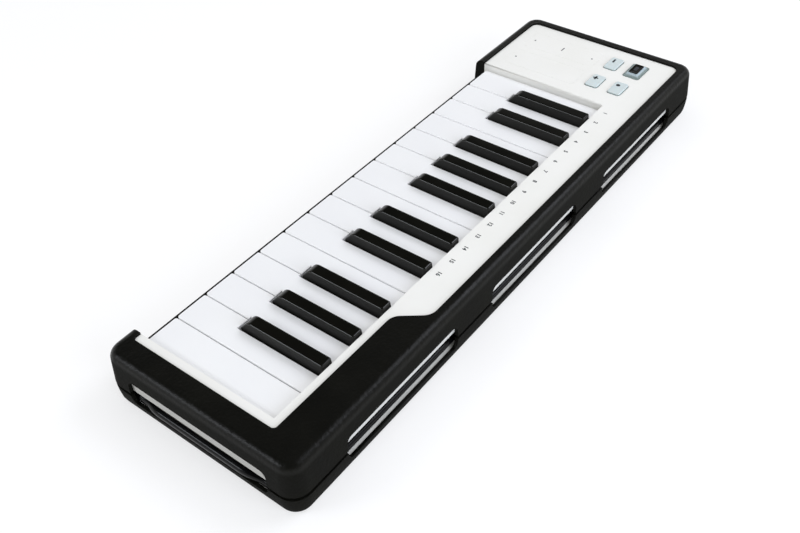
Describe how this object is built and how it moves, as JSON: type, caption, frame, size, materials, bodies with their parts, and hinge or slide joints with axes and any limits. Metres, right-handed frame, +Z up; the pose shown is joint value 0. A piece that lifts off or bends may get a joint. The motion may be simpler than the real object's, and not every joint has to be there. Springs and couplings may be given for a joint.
{
  "type": "midi keyboard",
  "caption": "Slim-key MIDI controller keyboard with a white touch-strip panel, black and white hinged keys and a black rubber sleeve that holds its wrapped cable in a side groove",
  "frame": {"origin": "on the table under the middle of the keyboard's outline", "axes": "+X to the player's right along the keys, +Y to the back, +Z up"},
  "size_m": [0.406, 0.129, 0.0353],
  "materials": {
    "sleeve_rubber": "moulded matte black rubber",
    "case_plastic": "fine-textured white ABS",
    "key_white_plastic": "polished white ABS",
    "key_black_plastic": "satin black ABS",
    "chassis_plastic": "plain dark moulding",
    "steel": "bright drawn steel",
    "felt": "pressed felt strip",
    "circuit_board": "solder-masked glass fibre board",
    "silicone": "moulded grey silicone",
    "ribbon_film": "flat film cable",
    "chip_resin": "moulded resin",
    "cable_jacket": "smooth black PVC",
    "header_plastic": "natural nylon",
    "button_silicone": "translucent pale silicone",
    "shift_silicone": "translucent grey silicone",
    "print_ink": "pad-printed dark grey ink"
  },
  "bodies": {
    "body": {"upper_sleeve": "sleeve_rubber", "lower_sleeve": "sleeve_rubber", "top_case": "case_plastic", "bottom_case": "case_plastic", "key_chassis": "chassis_plastic", "pivot_rod": "steel", "upstop_felt": "felt", "downstop_felt": "felt", "key_board": "circuit_board", "contact_strip": "silicone", "key_ribbon": "ribbon_film", "main_board": "circuit_board", "main_chip": "chip_resin", "panel_board": "circuit_board", "button_mat": "silicone", "panel_ribbon": "ribbon_film", "touch_board": "circuit_board", "pitch_strip": "case_plastic", "mod_strip": "case_plastic", "usb_cable": "cable_jacket", "cable_header": "header_plastic", "cable_grommet": "sleeve_rubber", "plug_body": "cable_jacket", "plug_shell": "steel", "case_screws": "steel", "chassis_screws": "steel", "board_screws": "steel"},
    "octave_down_button": {"octave_down_button": "button_silicone"},
    "octave_up_button": {"octave_up_button": "button_silicone"},
    "hold_button": {"hold_button": "button_silicone"},
    "shift_button": {"shift_button": "shift_silicone", "shift_cap": "key_black_plastic"},
    "white_key_01": {"white_key_01": "key_white_plastic"},
    "white_key_02": {"white_key_02": "key_white_plastic"},
    "white_key_03": {"white_key_03": "key_white_plastic"},
    "white_key_04": {"white_key_04": "key_white_plastic"},
    "white_key_05": {"white_key_05": "key_white_plastic"},
    "white_key_06": {"white_key_06": "key_white_plastic"},
    "white_key_07": {"white_key_07": "key_white_plastic"},
    "white_key_08": {"white_key_08": "key_white_plastic"},
    "white_key_09": {"white_key_09": "key_white_plastic"},
    "white_key_10": {"white_key_10": "key_white_plastic"},
    "white_key_11": {"white_key_11": "key_white_plastic"},
    "white_key_12": {"white_key_12": "key_white_plastic"},
    "white_key_13": {"white_key_13": "key_white_plastic"},
    "white_key_14": {"white_key_14": "key_white_plastic"},
    "white_key_15": {"white_key_15": "key_white_plastic"},
    "black_key_01": {"black_key_01": "key_black_plastic"},
    "black_key_02": {"black_key_02": "key_black_plastic"},
    "black_key_03": {"black_key_03": "key_black_plastic"},
    "black_key_04": {"black_key_04": "key_black_plastic"},
    "black_key_05": {"black_key_05": "key_black_plastic"},
    "black_key_06": {"black_key_06": "key_black_plastic"},
    "black_key_07": {"black_key_07": "key_black_plastic"},
    "black_key_08": {"black_key_08": "key_black_plastic"},
    "black_key_09": {"black_key_09": "key_black_plastic"},
    "black_key_10": {"black_key_10": "key_black_plastic"}
  },
  "joints": [
    {"name": "white_key_01_hinge", "type": "hinge", "parent": "body", "child": "white_key_01", "pos_m": [-0.12015, 0.0485, 0.02], "axis": [1, 0, 0], "range_deg": [0, 3.35], "stiffness_Nm_per_rad": 0.5, "springref_deg": -5.73, "deforming": ["contact_strip"]},
    {"name": "white_key_02_hinge", "type": "hinge", "parent": "body", "child": "white_key_02", "pos_m": [-0.09555, 0.0485, 0.02], "axis": [1, 0, 0], "range_deg": [0, 3.35], "stiffness_Nm_per_rad": 0.5, "springref_deg": -5.73, "deforming": ["contact_strip"]},
    {"name": "white_key_03_hinge", "type": "hinge", "parent": "body", "child": "white_key_03", "pos_m": [-0.07095, 0.0485, 0.02], "axis": [1, 0, 0], "range_deg": [0, 3.35], "stiffness_Nm_per_rad": 0.5, "springref_deg": -5.73, "deforming": ["contact_strip"]},
    {"name": "white_key_04_hinge", "type": "hinge", "parent": "body", "child": "white_key_04", "pos_m": [-0.05894, 0.0485, 0.02], "axis": [1, 0, 0], "range_deg": [0, 3.35], "stiffness_Nm_per_rad": 0.5, "springref_deg": -5.73, "deforming": ["contact_strip"]},
    {"name": "white_key_05_hinge", "type": "hinge", "parent": "body", "child": "white_key_05", "pos_m": [-0.03551, 0.0485, 0.02], "axis": [1, 0, 0], "range_deg": [0, 3.35], "stiffness_Nm_per_rad": 0.5, "springref_deg": -5.73, "deforming": ["contact_strip"]},
    {"name": "white_key_06_hinge", "type": "hinge", "parent": "body", "child": "white_key_06", "pos_m": [-0.01209, 0.0485, 0.02], "axis": [1, 0, 0], "range_deg": [0, 3.35], "stiffness_Nm_per_rad": 0.5, "springref_deg": -5.73, "deforming": ["contact_strip"]},
    {"name": "white_key_07_hinge", "type": "hinge", "parent": "body", "child": "white_key_07", "pos_m": [0.01134, 0.0485, 0.02], "axis": [1, 0, 0], "range_deg": [0, 3.35], "stiffness_Nm_per_rad": 0.5, "springref_deg": -5.73, "deforming": ["contact_strip"]},
    {"name": "white_key_08_hinge", "type": "hinge", "parent": "body", "child": "white_key_08", "pos_m": [0.02335, 0.0485, 0.02], "axis": [1, 0, 0], "range_deg": [0, 3.35], "stiffness_Nm_per_rad": 0.5, "springref_deg": -5.73, "deforming": ["contact_strip"]},
    {"name": "white_key_09_hinge", "type": "hinge", "parent": "body", "child": "white_key_09", "pos_m": [0.04795, 0.0485, 0.02], "axis": [1, 0, 0], "range_deg": [0, 3.35], "stiffness_Nm_per_rad": 0.5, "springref_deg": -5.73, "deforming": ["contact_strip"]},
    {"name": "white_key_10_hinge", "type": "hinge", "parent": "body", "child": "white_key_10", "pos_m": [0.07255, 0.0485, 0.02], "axis": [1, 0, 0], "range_deg": [0, 3.35], "stiffness_Nm_per_rad": 0.5, "springref_deg": -5.73, "deforming": ["contact_strip"]},
    {"name": "white_key_11_hinge", "type": "hinge", "parent": "body", "child": "white_key_11", "pos_m": [0.08456, 0.0485, 0.02], "axis": [1, 0, 0], "range_deg": [0, 3.35], "stiffness_Nm_per_rad": 0.5, "springref_deg": -5.73, "deforming": ["contact_strip"]},
    {"name": "white_key_12_hinge", "type": "hinge", "parent": "body", "child": "white_key_12", "pos_m": [0.10799, 0.0485, 0.02], "axis": [1, 0, 0], "range_deg": [0, 3.35], "stiffness_Nm_per_rad": 0.5, "springref_deg": -5.73, "deforming": ["contact_strip"]},
    {"name": "white_key_13_hinge", "type": "hinge", "parent": "body", "child": "white_key_13", "pos_m": [0.13141, 0.0485, 0.02], "axis": [1, 0, 0], "range_deg": [0, 3.35], "stiffness_Nm_per_rad": 0.5, "springref_deg": -5.73, "deforming": ["contact_strip"]},
    {"name": "white_key_14_hinge", "type": "hinge", "parent": "body", "child": "white_key_14", "pos_m": [0.15484, 0.0485, 0.02], "axis": [1, 0, 0], "range_deg": [0, 3.35], "stiffness_Nm_per_rad": 0.5, "springref_deg": -5.73, "deforming": ["contact_strip"]},
    {"name": "white_key_15_hinge", "type": "hinge", "parent": "body", "child": "white_key_15", "pos_m": [0.16685, 0.0485, 0.02], "axis": [1, 0, 0], "range_deg": [0, 3.35], "stiffness_Nm_per_rad": 0.5, "springref_deg": -5.73, "deforming": ["contact_strip"]},
    {"name": "black_key_01_hinge", "type": "hinge", "parent": "body", "child": "black_key_01", "pos_m": [-0.10785, 0.0485, 0.02], "axis": [1, 0, 0], "range_deg": [0, 3.35], "stiffness_Nm_per_rad": 0.5, "springref_deg": -5.73, "deforming": ["contact_strip"]},
    {"name": "black_key_02_hinge", "type": "hinge", "parent": "body", "child": "black_key_02", "pos_m": [-0.08325, 0.0485, 0.02], "axis": [1, 0, 0], "range_deg": [0, 3.35], "stiffness_Nm_per_rad": 0.5, "springref_deg": -5.73, "deforming": ["contact_strip"]},
    {"name": "black_key_03_hinge", "type": "hinge", "parent": "body", "child": "black_key_03", "pos_m": [-0.04723, 0.0485, 0.02], "axis": [1, 0, 0], "range_deg": [0, 3.35], "stiffness_Nm_per_rad": 0.5, "springref_deg": -5.73, "deforming": ["contact_strip"]},
    {"name": "black_key_04_hinge", "type": "hinge", "parent": "body", "child": "black_key_04", "pos_m": [-0.0238, 0.0485, 0.02], "axis": [1, 0, 0], "range_deg": [0, 3.35], "stiffness_Nm_per_rad": 0.5, "springref_deg": -5.73, "deforming": ["contact_strip"]},
    {"name": "black_key_05_hinge", "type": "hinge", "parent": "body", "child": "black_key_05", "pos_m": [-0.00037, 0.0485, 0.02], "axis": [1, 0, 0], "range_deg": [0, 3.35], "stiffness_Nm_per_rad": 0.5, "springref_deg": -5.73, "deforming": ["contact_strip"]},
    {"name": "black_key_06_hinge", "type": "hinge", "parent": "body", "child": "black_key_06", "pos_m": [0.03565, 0.0485, 0.02], "axis": [1, 0, 0], "range_deg": [0, 3.35], "stiffness_Nm_per_rad": 0.5, "springref_deg": -5.73, "deforming": ["contact_strip"]},
    {"name": "black_key_07_hinge", "type": "hinge", "parent": "body", "child": "black_key_07", "pos_m": [0.06025, 0.0485, 0.02], "axis": [1, 0, 0], "range_deg": [0, 3.35], "stiffness_Nm_per_rad": 0.5, "springref_deg": -5.73, "deforming": ["contact_strip"]},
    {"name": "black_key_08_hinge", "type": "hinge", "parent": "body", "child": "black_key_08", "pos_m": [0.09627, 0.0485, 0.02], "axis": [1, 0, 0], "range_deg": [0, 3.35], "stiffness_Nm_per_rad": 0.5, "springref_deg": -5.73, "deforming": ["contact_strip"]},
    {"name": "black_key_09_hinge", "type": "hinge", "parent": "body", "child": "black_key_09", "pos_m": [0.1197, 0.0485, 0.02], "axis": [1, 0, 0], "range_deg": [0, 3.35], "stiffness_Nm_per_rad": 0.5, "springref_deg": -5.73, "deforming": ["contact_strip"]},
    {"name": "black_key_10_hinge", "type": "hinge", "parent": "body", "child": "black_key_10", "pos_m": [0.14313, 0.0485, 0.02], "axis": [1, 0, 0], "range_deg": [0, 3.35], "stiffness_Nm_per_rad": 0.5, "springref_deg": -5.73, "deforming": ["contact_strip"]},
    {"name": "octave_down_button_press", "type": "slide", "parent": "body", "child": "octave_down_button", "axis": [0, 0, -1], "range_m": [0, 0.0008], "stiffness_N_per_m": 400, "springref_m": -0.002, "deforming": ["button_mat"]},
    {"name": "octave_up_button_press", "type": "slide", "parent": "body", "child": "octave_up_button", "axis": [0, 0, -1], "range_m": [0, 0.0008], "stiffness_N_per_m": 400, "springref_m": -0.002, "deforming": ["button_mat"]},
    {"name": "hold_button_press", "type": "slide", "parent": "body", "child": "hold_button", "axis": [0, 0, -1], "range_m": [0, 0.0008], "stiffness_N_per_m": 400, "springref_m": -0.002, "deforming": ["button_mat"]},
    {"name": "shift_button_press", "type": "slide", "parent": "body", "child": "shift_button", "axis": [0, 0, -1], "range_m": [0, 0.0008], "stiffness_N_per_m": 400, "springref_m": -0.002, "deforming": ["button_mat"]}
  ]
}
